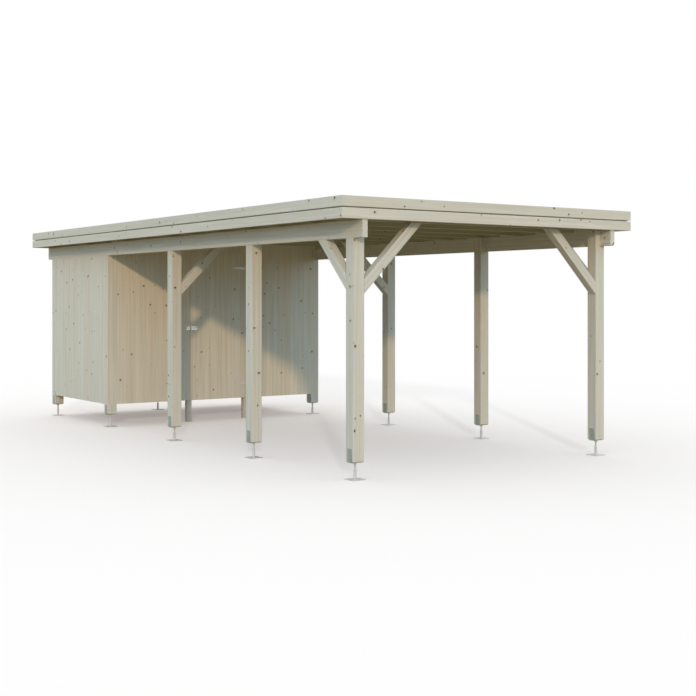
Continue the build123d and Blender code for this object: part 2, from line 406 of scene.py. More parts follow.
@dataclass(frozen=True)
class GalvanisedFinish(Finish):
    """Hot-dip galvanised steel: light grey metal with a faint spangle of crystals."""

    name: str = "hot_dip_galvanised_steel"
    light: str = "#c3c7c5"
    dark: str = "#a5aaa8"
    spangle: float = 9 * MM
    roughness: float = 0.42
    smoother: float = 0.08           # the most by which a crystal is smoother than that
    rougher: float = 0.1             # the most by which a crystal is rougher
    metallic: float = 1.0

    def shader(self, tree: NodeTree) -> Node:
        """Build the finish's nodes.

        Args:
            tree: the material's tree.

        Returns:
            The shader node.
        """
        place = add_node(tree, "ShaderNodeTexCoord")
        cells = add_node(
            tree, "ShaderNodeTexVoronoi", {"feature": "F1"},
            {"Vector": place.outputs["Object"], "Scale": 1 / self.spangle},
        )
        chance = add_node(tree, "ShaderNodeSeparateColor", inputs={0: cells.outputs["Color"]})
        colour = add_node(
            tree, "ShaderNodeMix", {"data_type": "RGBA"},
            {0: chance.outputs[0], MIX_LOW: linear(self.dark), MIX_HIGH: linear(self.light)},
        )
        rough = add_node(
            tree, "ShaderNodeMapRange",
            inputs={
                "Value": chance.outputs[1],
                "To Min": self.roughness - self.smoother, "To Max": self.roughness + self.rougher,
            },
        )
        return add_node(
            tree, "ShaderNodeBsdfPrincipled",
            inputs={
                "Base Color": colour.outputs[MIX_RESULT], "Metallic": self.metallic,
                "Roughness": rough.outputs["Result"],
            },
        )


@dataclass(frozen=True)
class FeltFinish(Finish):
    """Mineral roofing felt: dark grey, dull, gritty with slate chips."""

    name: str = "mineral_roofing_felt"
    dark: str = "#4d4b47"
    light: str = "#716f6a"
    chip: float = 4 * MM             # slate chips, drawn about twice as large as real ones to show
    chip_rise: float = 1 * MM
    chip_strength: float = 0.5
    blotch: float = 600 * MM
    blotch_detail: float = 3.0
    roughness: float = 0.92

    def shader(self, tree: NodeTree) -> Node:
        """Build the finish's nodes.

        Args:
            tree: the material's tree.

        Returns:
            The shader node.
        """
        place = add_node(tree, "ShaderNodeTexCoord").outputs["Object"]
        chips = add_node(tree, "ShaderNodeTexVoronoi", inputs={"Vector": place, "Scale": 1 / self.chip})
        blotch = add_node(
            tree, "ShaderNodeTexNoise",
            inputs={"Vector": place, "Scale": 1 / self.blotch, "Detail": self.blotch_detail},
        )
        chance = add_node(tree, "ShaderNodeSeparateColor", inputs={0: chips.outputs["Color"]})
        amount = add_node(
            tree, "ShaderNodeMath", {"operation": "MULTIPLY"}, {0: chance.outputs[0], 1: blotch.outputs[0]},
        )
        colour = add_node(
            tree, "ShaderNodeMix", {"data_type": "RGBA"},
            {0: amount.outputs[0], MIX_LOW: linear(self.dark), MIX_HIGH: linear(self.light)},
        )
        bump = add_node(
            tree, "ShaderNodeBump",
            inputs={
                "Strength": self.chip_strength, "Distance": self.chip_rise,
                "Height": chips.outputs["Distance"],
            },
        )
        return add_node(
            tree, "ShaderNodeBsdfPrincipled",
            inputs={
                "Base Color": colour.outputs[MIX_RESULT], "Roughness": self.roughness,
                "Normal": bump.outputs["Normal"],
            },
        )


# Pale grey-green timber with dark knots: the frame reads light and even from afar, lively from near by.
FRAME_TIMBER = TimberFinish(
    "planed_spruce_frame", pale="#dadcd4", streak="#bdc1b6", warm="#d0c7b2", line="#bbbdb0",
    knot_spacing=250 * MM, knot_radius=(3 * MM, 12 * MM),
)
# A little lighter and warmer than the frame: boards differ enough for the walls to read as boarded.
WALL_TIMBER = TimberFinish(
    "planed_spruce_wall_boards", pale="#dddfd4", streak="#c1c2b4", warm="#d3c7b0", line="#c0beae",
    knot_spacing=290 * MM, knot_radius=(2.5 * MM, 12.5 * MM),
)
# Darker, browner and quieter than the frame timber: painted shade for the roof boards and rafters, whose
# underside lies in the shade under the roof.
SHADE_DARKENED_ROOF_TIMBER = TimberFinish(
    "planed_spruce_roof_boards_shade_darkened", pale="#aeb095", streak="#a2a285", warm="#a8a182", line="#98937c",
    knot_spacing=450 * MM, streak_share=0.5, line_share=0.3,
)
# Grey metal: small heads show as clean points on the timber.
GALVANISED = GalvanisedFinish()
# Nearly white and half matt: stems, plates and hinges stay bright from every side.
BRIGHT_ZINC = GalvanisedFinish(
    "bright_zinc_plated_steel", light="#d6d8d5", dark="#c5c8c5", roughness=0.5, metallic=0.3,
)
# Shiny and pale: the slide bolt mirrors its bright surroundings and stands out from the door.
POLISHED_ZINC = GalvanisedFinish(
    "polished_zinc_plated_steel", light="#e0dfd8", dark="#cfcec7", roughness=0.3,
)
# Grey-green and darker than the plates: a painted reflection of dark surroundings, so that the brackets'
# strips and their screws show as quiet dark fields in the posts.
DARK_REFLECTION_ZINC = GalvanisedFinish("galvanised_steel_painted_dark_reflection", light="#9ea8a0", dark="#8a948c")
# Dark and gritty: the roof lies as one dull sheet inside its pale fascia.
FELT = FeltFinish()


def place_piece(
    name: str,
    mesh: Mesh,
    body: Body,
    slot: Slot,
    stands_for: Sequence[str] = (),
) -> None:
    """Put a finished mesh into the scene as a piece of the object.

    Args:
        name: the piece's name.
        mesh: its mesh, already in place and with its material.
        body: the body it moves with.
        slot: not used.
        stands_for: CAD nodes that it is shown in place of.
    """
    piece = bpy.data.objects.new(name, mesh)
    bpy.context.scene.collection.objects.link(piece)
    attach(piece, body.value)
    if stands_for:
        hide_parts(*stands_for)
    log.info("%s: %d faces on %s", name, len(mesh.polygons), body.value)


def baked(work: bmesh.types.BMesh, name: str, material: Material) -> Mesh:
    """Turn a mesh under work into a plain one, and free it.

    Args:
        work: the mesh under work.
        name: the plain mesh's name.
        material: its material.

    Returns:
        The plain mesh.
    """
    mesh = bpy.data.meshes.new(name)
    work.to_mesh(mesh)
    work.free()
    mesh.materials.append(material)
    return mesh


def welded(node: str) -> bmesh.types.BMesh:
    """Copy a CAD node's mesh, with its doubled vertices welded.

    Args:
        node: the node's name.

    Returns:
        The copy, to be freed after use.
    """
    work = bmesh.new()
    work.from_mesh(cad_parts[node].data)
    bmesh.ops.remove_doubles(work, verts=work.verts, dist=MERGE_DISTANCE)
    work.verts.index_update()
    return work


def islands(work: bmesh.types.BMesh) -> Iterator[list[bmesh.types.BMVert]]:
    """Go through the separate solids of a mesh, one at a time.

    Args:
        work: the mesh, its vertices numbered.

    Yields:
        The solid's vertices in the order of their numbers.
    """
    left = set(work.verts)
    while left:
        start = min(left, key=lambda vert: vert.index)
        group, front = {start}, [start]
        while front:
            here = front.pop()
            near = {edge.other_vert(here) for edge in here.link_edges} - group
            group |= near
            front.extend(near)
        left -= group
        yield sorted(group, key=lambda vert: vert.index)


def solid_boxes(node: str) -> list[tuple[Vector, Vector]]:
    """Find the box of every separate solid of a CAD node.

    Args:
        node: the node's name.

    Returns:
        Lowest and highest corner of each solid.
    """
    work = welded(node)
    boxes = []
    for solid in islands(work):
        sides = list(zip(*(vert.co for vert in solid)))
        boxes.append((Vector(map(min, sides)), Vector(map(max, sides))))
    work.free()
    return boxes


def dress_timber(
    node: str,
    grain: Grain,
    finish: TimberFinish,
    arris: float,
    body: Body = Body.CARPORT,
) -> None:
    """Ease a timber's long edges and give it its own figure and tone.

    Args:
        node: the CAD node it is made from and stands for.
        grain: the way its fibres run.
        finish: the timber's finish.
        arris: width of the eased edges.
        body: the body it moves with.
    """
    work = welded(node)
    bmesh.ops.dissolve_limit(work, angle_limit=FLAT_ANGLE, verts=work.verts, edges=work.edges)
    along, side, depth = grain.axes()
    sharp = [
        edge for edge in work.edges
        if edge.is_convex and edge.calc_length() > EASED_LENGTH * arris
        and abs((edge.verts[0].co - edge.verts[1].co).normalized().dot(along)) > ALONG_FIBRES
    ]
    bmesh.ops.bevel(
        work, geom=sharp, offset=arris, offset_type="OFFSET", segments=ARRIS_STEPS,
        profile=ARRIS_PROFILE, affect="EDGES",
    )
    work.verts.index_update()
    chance = random.Random(node)
    grain_layer = work.verts.layers.float_vector.new(GRAIN)
    tone_layer = work.verts.layers.float.new(TONE)
    for solid in islands(work):
        shift = Vector((chance.uniform(0, GRAIN_SHIFT) for _ in along))
        tone = chance.random()
        for vert in solid:
            vert[grain_layer] = shift + Vector((vert.co.dot(axis) for axis in (along, side, depth)))
            vert[tone_layer] = tone
    mesh = baked(work, f"{node}_dressed", finish.material())
    place_piece(f"{node}_dressed", mesh, body, Slot.TIMBER, (node,))


def grow(tree: NodeTree, values: dict[str, Any], base: Optional[Mesh] = None) -> Mesh:
    """Run a geometry tree and keep its result as a plain mesh.

    Args:
        tree: the geometry tree.
        values: its inputs by name.
        base: the mesh it starts from, or none.

    Returns:
        The mesh that the tree makes.
    """
    carrier = bpy.data.objects.new("carrier", base or bpy.data.meshes.new("carrier"))
    bpy.context.scene.collection.objects.link(carrier)
    modifier = carrier.modifiers.new("grow", "NODES")
    modifier.node_group = tree
    for item in tree.interface.items_tree:
        if item.in_out == "INPUT" and item.name in values:
            modifier[item.identifier] = values[item.name]
    shown = carrier.evaluated_get(bpy.context.evaluated_depsgraph_get())
    mesh = bpy.data.meshes.new_from_object(shown)
    bpy.data.objects.remove(carrier)
    mesh.materials.clear()
    mesh.materials.append(values["Material"])
    mesh.shade_flat()
    return mesh


def new_growth(name: str, inputs: Sequence[tuple[str, str]]) -> tuple[NodeTree, Any, Any]:
    """Start a geometry tree with named inputs.

    Args:
        name: the tree's name.
        inputs: input names with their socket types.

    Returns:
        The tree, its input node's outputs and its output node.
    """
    tree = bpy.data.node_groups.new(name, "GeometryNodeTree")
    tree.interface.new_socket("Geometry", in_out="INPUT", socket_type="NodeSocketGeometry")
    for label, kind in inputs:
        tree.interface.new_socket(label, in_out="INPUT", socket_type=kind)
    tree.interface.new_socket("Geometry", in_out="OUTPUT", socket_type="NodeSocketGeometry")
    return tree, add_node(tree, "NodeGroupInput").outputs, add_node(tree, "NodeGroupOutput")


def end_growth(tree: NodeTree, geometry: NodeSocket, inputs: Any, output: Node) -> None:
    """Make a geometry tree's instances real, give them their material and hand them out.

    Args:
        tree: the geometry tree.
        geometry: what it has made.
        inputs: its input node's outputs.
        output: its output node.
    """
    real = add_node(tree, "GeometryNodeRealizeInstances", inputs={"Geometry": geometry})
    dressed = add_node(
        tree, "GeometryNodeSetMaterial",
        inputs={"Geometry": real.outputs[0], "Material": inputs["Material"]},
    )
    tree.links.new(dressed.outputs[0], output.inputs[0])


def middles(low: float, high: float, pitch: float) -> list[float]:
    """Middles of the equal parts, each about a pitch long, that fill a stretch."""
    count = max(1, round((high - low) / pitch))
    return [low + (i + 0.5) * (high - low) / count for i in range(count)]


@dataclass
class BoardRow:
    """A row of boards side by side, each with chamfered edges and its own figure.

    The row starts at the origin and runs along X, the boards stand up along Z and
    their thickness lies along Y, until a matrix puts them in place. Metres.
    """

    finish: TimberFinish
    gap: float
    chamfer: float
    pitch: float = 96 * MM
    tree: Optional[NodeTree] = None

    def boards(self, width: float, length: float, thickness: float, seed: int) -> Mesh:
        """Make the boards that fill a width.

        Args:
            width: width of the whole row.
            length: length of the boards.
            thickness: thickness of the boards.
            seed: picks each board's figure and tone.

        Returns:
            The row's mesh.
        """
        self.tree = self.tree or self._growth()
        count = max(1, round(width / self.pitch))
        return grow(self.tree, {
            "Count": count, "Pitch": width / count, "Gap": self.gap, "Length": length,
            "Thickness": thickness, "Chamfer": self.chamfer, "Seed": seed,
            "Material": self.finish.material(),
        })

    def centres(self, low: float, high: float) -> list[float]:
        """Middles of the boards that fill a width between two places."""
        return middles(low, high, self.pitch)

    def _growth(self) -> NodeTree:
        """Build the geometry tree of the row.

        Returns:
            The tree.
        """
        tree, inputs, output = new_growth(f"board_row_{self.finish.name}", (
            ("Count", WHOLE), ("Pitch", NUMBER), ("Gap", NUMBER), ("Length", NUMBER),
            ("Thickness", NUMBER), ("Chamfer", NUMBER), ("Seed", WHOLE), ("Material", SURFACE),
        ))
        face = add_node(
            tree, "ShaderNodeMath", {"operation": "SUBTRACT"}, {0: inputs["Pitch"], 1: inputs["Gap"]},
        )
        section = add_node(
            tree, "GeometryNodeCurvePrimitiveQuadrilateral",
            inputs={"Width": face.outputs[0], "Height": inputs["Thickness"]},
        )
        section = add_node(
            tree, "GeometryNodeFilletCurve", {"mode": "POLY"},
            {"Curve": section.outputs[0], "Count": 1, "Radius": inputs["Chamfer"]},
        )
        top = add_node(tree, "ShaderNodeCombineXYZ", inputs={"Z": inputs["Length"]})
        spine = add_node(tree, "GeometryNodeCurvePrimitiveLine", inputs={"End": top.outputs[0]})
        board = add_node(
            tree, "GeometryNodeCurveToMesh",
            inputs={"Curve": spine.outputs[0], "Profile Curve": section.outputs[0], "Fill Caps": True},
        )
        board = self._stored_grain(tree, board.outputs[0])
        half = add_node(tree, "ShaderNodeMath", {"operation": "MULTIPLY"}, {0: inputs["Pitch"], 1: 0.5})
        start = add_node(tree, "ShaderNodeCombineXYZ", inputs={"X": half.outputs[0]})
        step = add_node(tree, "ShaderNodeCombineXYZ", inputs={"X": inputs["Pitch"]})
        row = add_node(
            tree, "GeometryNodeMeshLine",
            inputs={"Count": inputs["Count"], "Start Location": start.outputs[0], "Offset": step.outputs[0]},
        )
        placed = add_node(
            tree, "GeometryNodeInstanceOnPoints", inputs={"Points": row.outputs[0], "Instance": board},
        )
        tone = add_node(tree, "FunctionNodeRandomValue", {"data_type": "FLOAT"}, {"Seed": inputs["Seed"]})
        shift = add_node(
            tree, "FunctionNodeRandomValue", {"data_type": "FLOAT_VECTOR"},
            {1: (GRAIN_SHIFT, GRAIN_SHIFT, GRAIN_SHIFT), "Seed": inputs["Seed"]},
        )
        stored = placed.outputs[0]
        for label, kind, value in (
            (TONE, "FLOAT", tone.outputs[1]), (SHIFT, "FLOAT_VECTOR", shift.outputs[0]),
        ):
            stored = add_node(
                tree, "GeometryNodeStoreNamedAttribute", {"data_type": kind, "domain": "INSTANCE"},
                {"Geometry": stored, "Name": label, "Value": value},
            ).outputs[0]
        real = add_node(tree, "GeometryNodeRealizeInstances", inputs={"Geometry": stored})
        own, moved = (
            add_node(
                tree, "GeometryNodeInputNamedAttribute", {"data_type": "FLOAT_VECTOR"}, {"Name": label},
            ).outputs[0]
            for label in (GRAIN, SHIFT)
        )
        total = add_node(tree, "ShaderNodeVectorMath", {"operation": "ADD"}, {0: own, 1: moved})
        shifted = add_node(
            tree, "GeometryNodeStoreNamedAttribute", {"data_type": "FLOAT_VECTOR", "domain": "POINT"},
            {"Geometry": real.outputs[0], "Name": GRAIN, "Value": total.outputs[0]},
        )
        end_growth(tree, shifted.outputs[0], inputs, output)
        return tree

    def _stored_grain(self, tree: NodeTree, board: NodeSocket) -> NodeSocket:
        """Keep each point's place along and across the board for the timber finish.

        Args:
            tree: the row's tree.
            board: the single board.

        Returns:
            The board with its grain coordinates.
        """
        place = add_node(tree, "GeometryNodeInputPosition")
        parts = add_node(tree, "ShaderNodeSeparateXYZ", inputs={0: place.outputs[0]}).outputs
        turned = add_node(
            tree, "ShaderNodeCombineXYZ", inputs={"X": parts["Z"], "Y": parts["X"], "Z": parts["Y"]},
        )
        stored = add_node(
            tree, "GeometryNodeStoreNamedAttribute", {"data_type": "FLOAT_VECTOR", "domain": "POINT"},
            {"Geometry": board, "Name": GRAIN, "Value": turned.outputs[0]},
        )
        return stored.outputs[0]


def roof_boards() -> BoardRow:
    """Plain roof boards, laid close."""
    # The roof boards' timber is darkened as painted shade.
    return BoardRow(SHADE_DARKENED_ROOF_TIMBER, gap=0.5 * MM, chamfer=1.2 * MM)


def wall_boards() -> BoardRow:
    """Tongued wall boards, whose joints show as fine lines."""
    return BoardRow(WALL_TIMBER, gap=0.2 * MM, chamfer=0.8 * MM)


def joined(name: str, meshes: Sequence[Mesh]) -> Mesh:
    """Join meshes that share one material, with their attributes.

    Args:
        name: the new mesh's name.
        meshes: the meshes, already in place.

    Returns:
        The joined mesh.
    """
    work = bmesh.new()
    for mesh in meshes:
        work.from_mesh(mesh)
    return baked(work, name, meshes[0].materials[0])


def turned_row(origin: Vector, row: Vector, upright: Vector) -> Matrix:
    """The matrix that lays a board row out in the object's frame.

    Args:
        origin: the corner where the row starts, on the middle of its thickness.
        row: direction of the row.
        upright: direction of the boards.

    Returns:
        The placing matrix.
    """
    depth = upright.cross(row)
    turn = Matrix((row, depth, upright)).transposed().to_4x4()
    return Matrix.Translation(origin) @ turn


@dataclass(frozen=True)
class Fixing:
    """A kind of nail or screw, of which only the domed head shows. Metres."""

    name: str
    radius: float
    rise: float
    finish: GalvanisedFinish
    sides: int = 10
    rings: int = 6

    def drive(self, piece: str, places: Sequence[tuple[Vector, Vector]], body: Body) -> None:
        """Put a head at every place as one piece.

        Args:
            piece: the piece's name.
            places: where each head sits, with the direction it faces.
            body: the body that they hold to.
        """
        points = bpy.data.meshes.new("points")
        points.from_pydata([place for place, _ in places], [], [])
        facing = points.attributes.new(FACING, "FLOAT_VECTOR", "POINT")
        facing.data.foreach_set("vector", [number for _, way in places for number in way])
        tree = bpy.data.node_groups.get(self.name) or self._growth()
        mesh = grow(tree, {
            "Radius": self.radius, "Rise": self.rise, "Material": self.finish.material(),
        }, points)
        mesh.shade_smooth()
        place_piece(piece, mesh, body, Slot.STEEL)

    def _growth(self) -> NodeTree:
        """Build the geometry tree that puts a head on every point.

        Returns:
            The tree.
        """
        tree, inputs, output = new_growth(
            self.name, (("Radius", NUMBER), ("Rise", NUMBER), ("Material", SURFACE)),
        )
        ball = add_node(
            tree, "GeometryNodeMeshUVSphere",
            inputs={"Segments": self.sides, "Rings": self.rings, "Radius": 1.0},
        )
        size = add_node(
            tree, "ShaderNodeCombineXYZ",
            inputs={"X": inputs["Radius"], "Y": inputs["Radius"], "Z": inputs["Rise"]},
        )
        head = add_node(
            tree, "GeometryNodeTransform", inputs={"Geometry": ball.outputs[0], "Scale": size.outputs[0]},
        )
        way = add_node(
            tree, "GeometryNodeInputNamedAttribute", {"data_type": "FLOAT_VECTOR"}, {"Name": FACING},
        )
        turn = add_node(
            tree, "FunctionNodeAlignRotationToVector", {"axis": "Z"}, {"Vector": way.outputs[0]},
        )
        placed = add_node(
            tree, "GeometryNodeInstanceOnPoints",
            inputs={
                "Points": inputs["Geometry"], "Instance": head.outputs[0], "Rotation": turn.outputs[0],
            },
        )
        end_growth(tree, placed.outputs[0], inputs, output)
        return tree


WALL_NAIL = Fixing("wall_nail", radius=3 * MM, rise=0.8 * MM, finish=GALVANISED)
FASCIA_SCREW = Fixing("fascia_screw", radius=4 * MM, rise=0.4 * MM, finish=GALVANISED)
# Heads in the brackets' strips, darkened like the strips as a painted reflection.
FOOT_SCREW = Fixing("foot_screw", radius=4 * MM, rise=1.6 * MM, finish=DARK_REFLECTION_ZINC)
BRACE_SCREW = Fixing("brace_screw", radius=5 * MM, rise=0.8 * MM, finish=GALVANISED)
PLATE_SCREW = Fixing("plate_screw", radius=3.5 * MM, rise=1.6 * MM, finish=GALVANISED)
COACH_BOLT = Fixing("coach_bolt", radius=7 * MM, rise=3.5 * MM, finish=GALVANISED)


@dataclass
class TimberFrame:
    """Posts, beams, rafters and braces with eased edges."""

    finish: TimberFinish = FRAME_TIMBER
    post_arris: float = 5 * MM
    beam_arris: float = 4 * MM
    rafter_arris: float = 3 * MM
    lines: tuple[str, ...] = ("front", "second", "middle", "store_front", "back")
    screw_inset: float = 60 * MM     # brace screws from the brace's ends

    def build(self) -> None:
        """Dress every timber of the open frame."""
        screws = []
        for side, rising in (("left", Grain.RISING_RIGHT), ("right", Grain.RISING_LEFT)):
            for line in self.lines:
                dress_timber(f"{side}_{line}_post", Grain.UPRIGHT, self.finish, self.post_arris)
            dress_timber(f"{side}_beam", Grain.LENGTHWISE, self.finish, self.beam_arris)
            for brace, grain in (
                (f"front_{side}_cross_brace", rising), (f"middle_{side}_cross_brace", rising),
                (f"{side}_side_brace", Grain.RISING_BACK),
            ):
                dress_timber(brace, grain, self.finish, self.beam_arris)
                screws += self.brace_screws(brace, grain)
        BRACE_SCREW.drive("brace_screws", screws, Body.CARPORT)
        dress_timber("back_middle_post", Grain.UPRIGHT, self.finish, self.post_arris)
        # The rafters take the roof boards' timber, darkened as painted shade.
        dress_timber("rafters", Grain.ACROSS, SHADE_DARKENED_ROOF_TIMBER, self.rafter_arris)

    def brace_screws(self, node: str, grain: Grain) -> list[tuple[Vector, Vector]]:
        """Place a screw near each end of a brace, in its underside.

        Args:
            node: the brace's CAD node.
            grain: the way it rises from its post.

        Returns:
            The screws' places with the way they face.
        """
        low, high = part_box(node)
        along, *_ = grain.axes()
        out = Vector((along.x, along.y, 0.0)).normalized()
        reach = abs((high - low).dot(out))
        foot = (low + high) / 2 - out * reach / 2
        foot.z = low.z
        ends = (self.screw_inset, reach / along.dot(out) - self.screw_inset)
        return [(foot + along * stop, (out - AXIS_Z).normalized()) for stop in ends]


@dataclass
class Roof:
    """Roof boards, felt and the double fascia."""

    boards: BoardRow = field(default_factory=roof_boards)
    deck_seed: int = 11
    fascia_arris: float = 3.5 * MM
    felt_width: float = 1000 * MM
    felt_lap: float = 90 * MM
    felt_rise: float = 2 * MM
    felt_settle: float = 1.6         # laps from its edge to where an upper width lies flat
    felt_fillet: float = 26 * MM
    screw_pitch: float = 600 * MM
    screw_shares: tuple[float, float] = (0.24, 0.76)

    def build(self) -> None:
        """Lay the roof and fix its fascia boards."""
        self.lay_deck()
        self.lay_felt()
        self.turn_felt_up()
        screws = []
        for side, grain, way in (
            ("front", Grain.ACROSS, -AXIS_Y), ("back", Grain.ACROSS, AXIS_Y),
            ("left", Grain.LENGTHWISE, -AXIS_X), ("right", Grain.LENGTHWISE, AXIS_X),
        ):
            dress_timber(f"{side}_fascia", grain, FRAME_TIMBER, self.fascia_arris)
            screws += self.fascia_screws(f"{side}_fascia", grain, way)
        FASCIA_SCREW.drive("fascia_screws", screws, Body.CARPORT)

    def fascia_screws(self, node: str, grain: Grain, way: Vector) -> list[tuple[Vector, Vector]]:
        """Place pairs of screws in every fascia board, at the rafters' ends or at an even pitch.

        Args:
            node: the fascia's CAD node.
            grain: the way its boards run.
            way: the way it faces.

        Returns:
            The screws' places with the way they face.
        """
        run = Vector(grain.value)
        places = []
        for low, high in solid_boxes(node):
            face = high if way.dot(AXIS_X + AXIS_Y) > 0 else low
            if grain is Grain.LENGTHWISE:
                stops = [(a.y + b.y) / 2 for a, b in solid_boxes("rafters")]
            else:
                stops = middles(low.x, high.x, self.screw_pitch)
            for stop in stops:
                for share in self.screw_shares:
                    spot = Vector((face.x, face.y, low.z + share * (high.z - low.z)))
                    places.append((spot + run * (stop - spot.dot(run)), way))
        return places

    def turn_felt_up(self) -> None:
        """Turn the felt up over a fillet along the inside of the fascia."""
        low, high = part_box("roof_covering")
        rise, inset = high.z + self.felt_fillet, self.felt_fillet
        rings = []
        for reach, level in ((0.0, rise), (inset, high.z), (0.0, high.z)):
            left, right = low.x + reach, high.x - reach
            front, back = low.y + reach, high.y - reach
            plan = ((left, front), (right, front), (right, back), (left, back))
            rings.append([(x, y, level) for x, y in plan])
        work = bmesh.new()
        rows = [[work.verts.new(corner) for corner in ring] for ring in rings]
        for ring, other in zip(rows, rows[1:] + rows[:1]):
            for i, corner in enumerate(ring):
                work.faces.new((ring[i - 1], corner, other[i], other[i - 1]))
        bmesh.ops.recalc_face_normals(work, faces=work.faces)
        mesh = baked(work, "felt_upstand", FELT.material())
        place_piece("felt_upstand", mesh, Body.CARPORT, Slot.FELT)

    def lay_deck(self) -> None:
        """Lay the roof boards lengthwise on the rafters."""
        low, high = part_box("roof_deck")
        size = high - low
        mesh = self.boards.boards(size.x, size.y, size.z, self.deck_seed)
        origin = Vector((high.x, low.y, (low.z + high.z) / 2))
        mesh.transform(turned_row(origin, -AXIS_X, AXIS_Y))
        place_piece("roof_boards", mesh, Body.CARPORT, Slot.DECK, ("roof_deck",))

    def lay_felt(self) -> None:
        """Lay the felt in lapped widths, each a little over the one before."""
        low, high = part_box("roof_covering")
        work = bmesh.new()
        count = math.ceil((high.x - low.x - self.felt_lap) / (self.felt_width - self.felt_lap))
        step = (high.x - low.x - self.felt_lap) / count
        for i in range(count):
            start = low.x + i * step
            end = start + step + self.felt_lap
            rise = self.felt_rise if i else 0.0
            over = start + self.felt_lap * self.felt_settle
            outline = [
                (start, low.z + rise), (over, low.z), (end, low.z),
                (end, high.z), (over, high.z), (start, high.z + rise),
            ]
            rings = [[work.verts.new((x, y, z)) for x, z in outline] for y in (low.y, high.y)]
            for a, b in zip(range(len(outline)), [*range(1, len(outline)), 0]):
                work.faces.new((rings[0][a], rings[0][b], rings[1][b], rings[1][a]))
            for ring in rings:
                work.faces.new(ring)
        bmesh.ops.recalc_face_normals(work, faces=work.faces)
        mesh = baked(work, "roof_felt", FELT.material())
        place_piece("roof_felt", mesh, Body.CARPORT, Slot.FELT, ("roof_covering",))


@dataclass
class StoreRoom:
    """Boarded walls of the store room with the rails and posts behind them."""

    boards: BoardRow = field(default_factory=wall_boards)
    arris: float = 3 * MM
    nail_spread: float = 27 * MM     # nails to each side of a board's middle
    reach: float = 10 * MM           # a rail this near to a wall carries it
    level_digits: int = 3            # levels are told apart to the millimetre
    side_seeds: tuple[tuple[str, int], ...] = (("store_left_wall", 21), ("store_right_wall", 22))
    end_seeds: tuple[tuple[str, int], ...] = (
        ("store_back_wall", 23), ("store_front_wall_left", 24),
        ("store_front_wall_right", 25), ("store_front_wall_over_door", 26),
    )
    seed_step: int = 100             # from one row of an end wall to its next
    nails: list[tuple[Vector, Vector]] = field(default_factory=list)

    def build(self) -> None:
        """Board the walls and dress the timbers behind them."""
        for node, seed in self.side_seeds:
            self.board_side(node, seed)
        for node, seed in self.end_seeds:
            self.board_end(node, seed)
        WALL_NAIL.drive("wall_nails", self.nails, Body.CARPORT)
        dress_timber("wall_rails", Grain.ACROSS, FRAME_TIMBER, self.arris)
        for side in ("left", "right"):
            dress_timber(f"{side}_door_post", Grain.UPRIGHT, FRAME_TIMBER, self.arris)

    def board_side(self, node: str, seed: int) -> None:
        """Board a side wall from front to back.

        Args:
            node: the wall's CAD node.
            seed: picks the boards' figure.
        """
        low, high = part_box(node)
        size = high - low
        mesh = self.boards.boards(size.y, size.z, size.x, seed)
        origin = Vector(((low.x + high.x) / 2, low.y, low.z))
        mesh.transform(turned_row(origin, AXIS_Y, AXIS_Z))
        place_piece(f"{node}_boards", mesh, Body.CARPORT, Slot.WALL, (node,))
        way = AXIS_X if low.x > 0 else -AXIS_X
        face = high.x if low.x > 0 else low.x
        for level in self.rail_levels(low, high):
            for middle in self.boards.centres(low.y, high.y):
                for side in (-self.nail_spread, self.nail_spread):
                    self.nails.append((Vector((face, middle + side, level)), way))

    def rail_levels(self, low: Vector, high: Vector) -> list[float]:
        """Heights of the rails behind a wall.

        Args:
            low: the wall's lowest corner.
            high: the wall's highest corner.

        Returns:
            The middles of the rails that carry it.
        """
        levels = set()
        for rail_low, rail_high in solid_boxes("wall_rails"):
            level = round((rail_low.z + rail_high.z) / 2, self.level_digits)
            meets = rail_low.x < high.x + self.reach and rail_high.x > low.x - self.reach
            if meets and low.z < level < high.z:
                levels.add(level)
        return sorted(levels)

    def board_end(self, node: str, seed: int) -> None:
        """Board an end wall, with one short narrow board under each beam it reaches.

        Args:
            node: the wall's CAD node.
            seed: picks the boards' figure.
        """
        low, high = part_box(node)
        depth = high.y - low.y
        beam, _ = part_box("right_beam")
        inner, under = beam.x, beam.z
        spans = [(max(low.x, -inner), min(high.x, inner), high.z)]
        if low.x < -inner:
            spans.append((low.x, -inner, under))
        if high.x > inner:
            spans.append((inner, high.x, under))
        rows = []
        way = AXIS_Y if node == "store_back_wall" else -AXIS_Y
        face = high.y if node == "store_back_wall" else low.y
        for level in self.rail_levels(low, high):
            for middle in self.boards.centres(*spans[0][:2]):
                for side in (-self.nail_spread, self.nail_spread):
                    self.nails.append((Vector((middle + side, face, level)), way))
        for i, (left, right, top) in enumerate(spans):
            mesh = self.boards.boards(right - left, top - low.z, depth, seed + self.seed_step * i)
            origin = Vector((left, (low.y + high.y) / 2, low.z))
            mesh.transform(turned_row(origin, AXIS_X, AXIS_Z))
            rows.append(mesh)
        place_piece(f"{node}_boards", joined(f"{node}_boards", rows), Body.CARPORT, Slot.WALL, (node,))


@dataclass
class Door:
    """The store room's door: boarded leaf and ledges."""

    boards: BoardRow = field(default_factory=wall_boards)
    seed: int = 31
    arris: float = 3 * MM
    nail_spread: float = 24 * MM

    def build(self) -> None:
        """Board the leaf and dress its ledges."""
        low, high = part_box("door_leaf")
        size = high - low
        mesh = self.boards.boards(size.x, size.z, size.y, self.seed)
        origin = Vector((low.x, (low.y + high.y) / 2, low.z))
        mesh.transform(turned_row(origin, AXIS_X, AXIS_Z))
        place_piece("door_leaf_boards", mesh, Body.DOOR, Slot.WALL, ("door_leaf",))
        dress_timber("door_ledges", Grain.ACROSS, FRAME_TIMBER, self.arris, Body.DOOR)
        nails = []
        for ledge_low, ledge_high in solid_boxes("door_ledges"):
            level = (ledge_low.z + ledge_high.z) / 2
            for middle in self.boards.centres(low.x, high.x):
                for side in (-self.nail_spread, self.nail_spread):
                    nails.append((Vector((middle + side, low.y, level + side)), -AXIS_Y))
        WALL_NAIL.drive("door_nails", nails, Body.DOOR)


